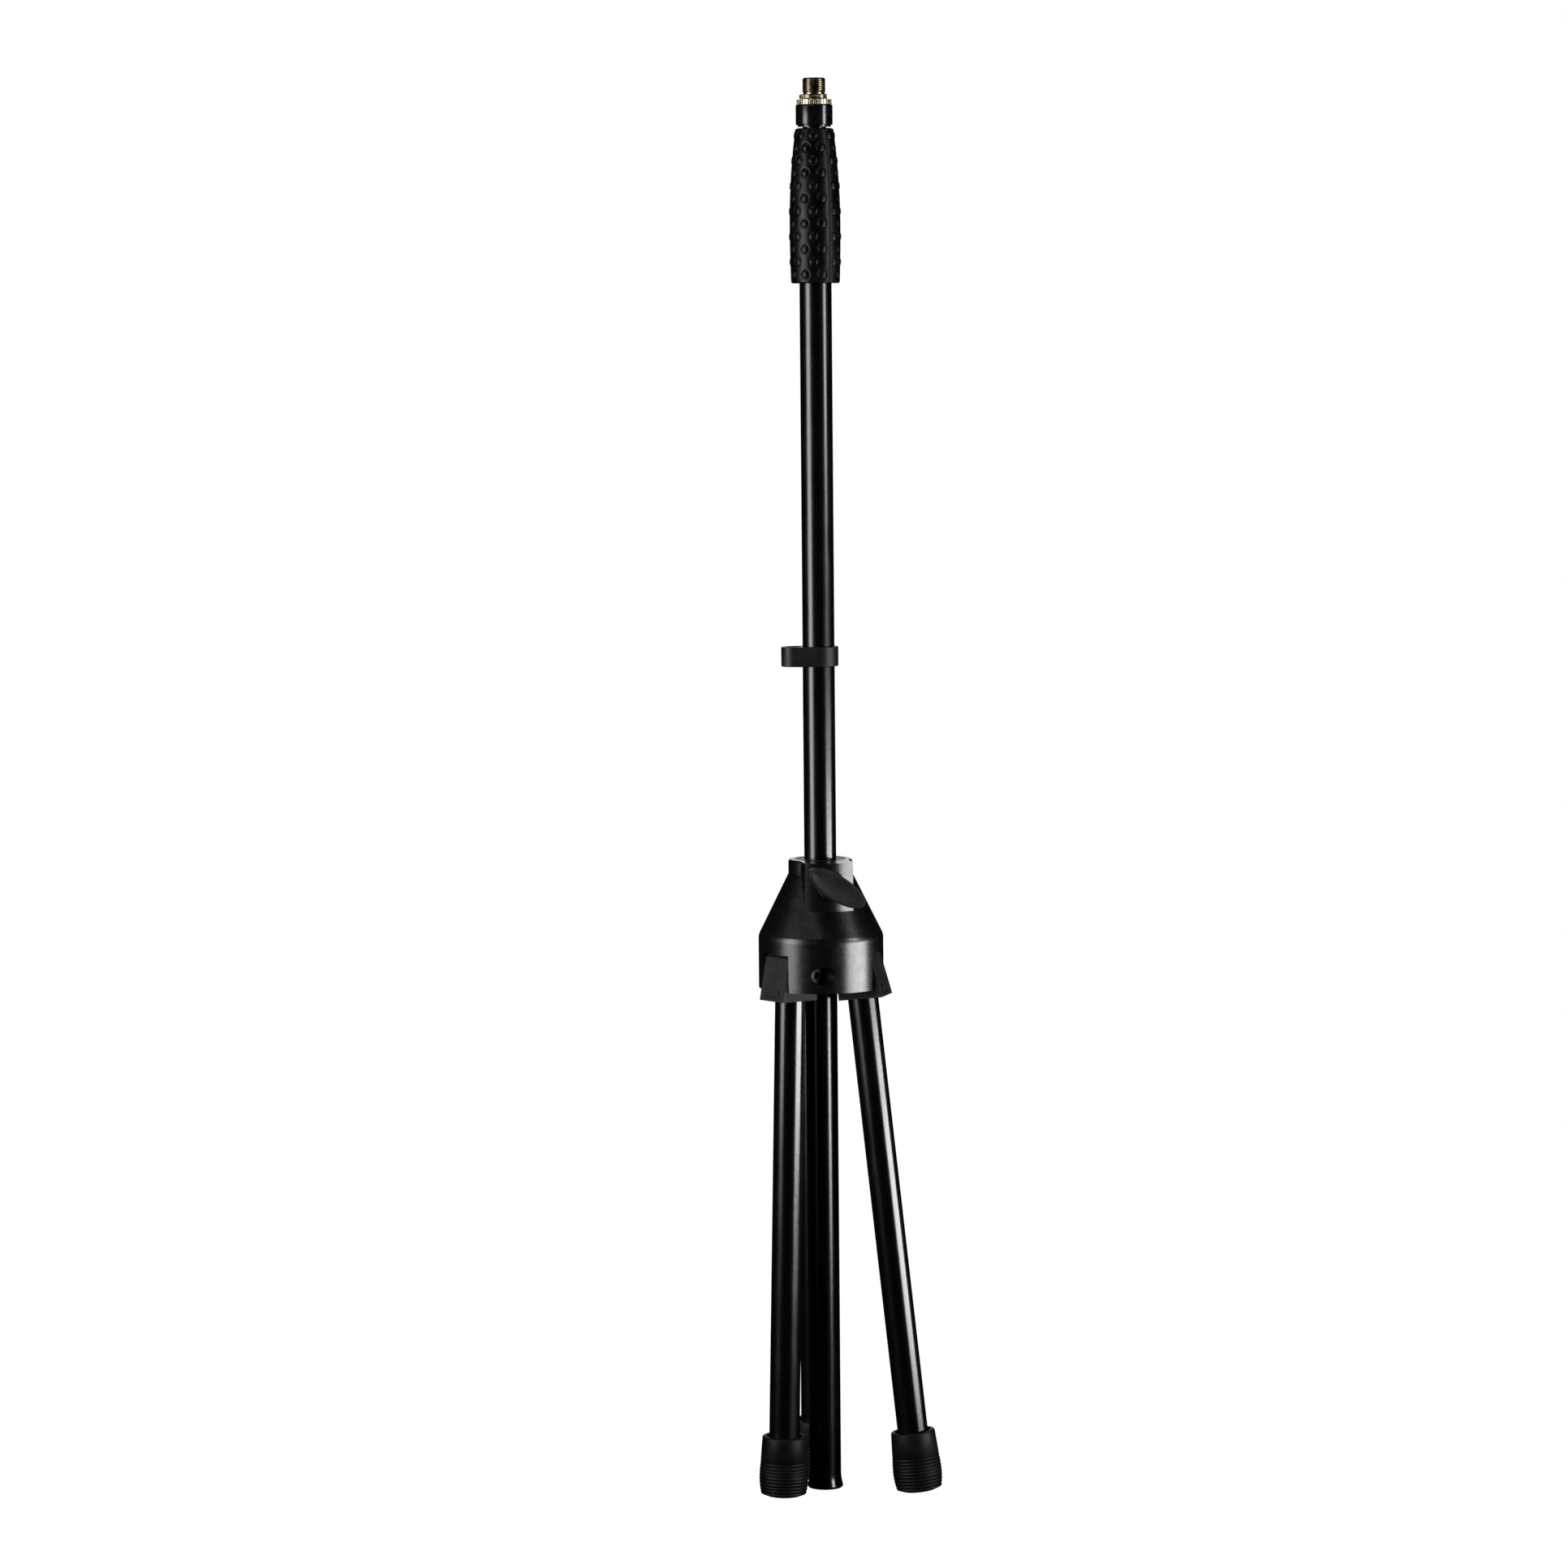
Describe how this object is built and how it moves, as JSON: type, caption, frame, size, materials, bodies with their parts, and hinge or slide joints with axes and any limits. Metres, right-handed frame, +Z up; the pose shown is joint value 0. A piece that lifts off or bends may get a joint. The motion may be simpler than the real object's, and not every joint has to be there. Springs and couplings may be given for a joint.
{
  "type": "microphone stand",
  "caption": "Folding tripod microphone stand: straight mast through a conical clamping hub, hinged tube legs, turn-to-lock hand grip, telescoping rod and threaded top.",
  "frame": {"origin": "centre of the flat lower end of the mast, where it meets the floor", "axes": "+Z up along the mast towards the thread; -Y towards the clamp knob; +X to the right seen from the knob's side"},
  "size_m": [0.1257, 0.1055, 0.9723],
  "materials": {
    "cast_black": "satin textured powder coat on the hub casting",
    "tube_black": "satin-gloss black powder coat on the tubes",
    "dark_plastic": "matte dark-grey moulded plastic",
    "black_plastic": "matte black moulded plastic",
    "gloss_plastic": "gloss black moulded plastic",
    "inner_plastic": "plain moulded plastic inside the stand",
    "rubber": "matte black rubber",
    "screw_steel": "zinc-plated steel",
    "rod_black": "gloss black painted rod",
    "plated": "pale yellowish nickel plating on the threads"
  },
  "bodies": {
    "hub": {"hub_housing": "cast_black", "guide_bush": "black_plastic", "pivot_screws": "screw_steel", "pivot_nuts": "screw_steel"},
    "mast": {"mast_tube": "tube_black", "mast_plug": "black_plastic", "clutch_body": "inner_plastic", "collet": "inner_plastic"},
    "cable_clip": {"cable_clip": "black_plastic"},
    "grip": {"grip_core": "black_plastic", "grip_rubber": "rubber"},
    "rod": {"inner_rod": "rod_black", "rod_glide": "inner_plastic", "head_stud": "screw_steel", "head_sleeve": "gloss_plastic", "serrated_ring": "plated"},
    "adapter": {"thread_adapter": "plated"},
    "pad": {"pressure_pad": "inner_plastic"},
    "knob": {"clamp_knob": "dark_plastic", "clamp_screw": "screw_steel"},
    "leg_left": {"block_outer_left": "dark_plastic", "block_inner_left": "dark_plastic", "leg_tube_left": "tube_black", "foot_left": "rubber"},
    "leg_right": {"block_outer_right": "dark_plastic", "block_inner_right": "dark_plastic", "leg_tube_right": "tube_black", "foot_right": "rubber"},
    "leg_back": {"block_outer_back": "dark_plastic", "block_inner_back": "dark_plastic", "leg_tube_back": "tube_black", "foot_back": "rubber"}
  },
  "joints": [
    {"name": "leg_left_fold", "type": "hinge", "parent": "hub", "child": "leg_left", "pos_m": [-0.02338, -0.0135, 0.3633], "axis": [-0.5, 0.866, 0], "range_deg": [-1.3, 68.3]},
    {"name": "leg_right_fold", "type": "hinge", "parent": "hub", "child": "leg_right", "pos_m": [0.02338, -0.0135, 0.3633], "axis": [-0.5, -0.866, 0], "range_deg": [-6, 63.6]},
    {"name": "leg_back_fold", "type": "hinge", "parent": "hub", "child": "leg_back", "pos_m": [0, 0.027, 0.3633], "axis": [1, 0, 0], "range_deg": [0, 69.6]},
    {"name": "mast_slide", "type": "slide", "parent": "hub", "child": "mast", "axis": [0, 0, 1], "range_m": [0, 0.38]},
    {"name": "grip_turn", "type": "hinge", "parent": "mast", "child": "grip", "pos_m": [0, 0, 0.88], "axis": [0, 0, 1], "range_deg": [0, 90]},
    {"name": "rod_slide", "type": "slide", "parent": "mast", "child": "rod", "axis": [0, 0, 1], "range_m": [0, 0.6]},
    {"name": "adapter_unscrew", "type": "slide", "parent": "rod", "child": "adapter", "axis": [0, 0, 1], "range_m": [0, 0.016]},
    {"name": "clip_slide", "type": "slide", "parent": "mast", "child": "cable_clip", "axis": [0, 0, 1], "range_m": [-0.13, 0.245]},
    {"name": "pad_travel", "type": "slide", "parent": "hub", "child": "pad", "axis": [0, -1, 0], "range_m": [0, 0.0035]},
    {"name": "knob_turn", "type": "hinge", "parent": "pad", "child": "knob", "pos_m": [0, -0.05, 0.4249], "axis": [0, -1, 0], "range_deg": [0, 720]}
  ],
  "couplings": [
    {"joint": "knob_turn", "follows": "pad_travel", "rad_per_m": 3590.4}
  ]
}
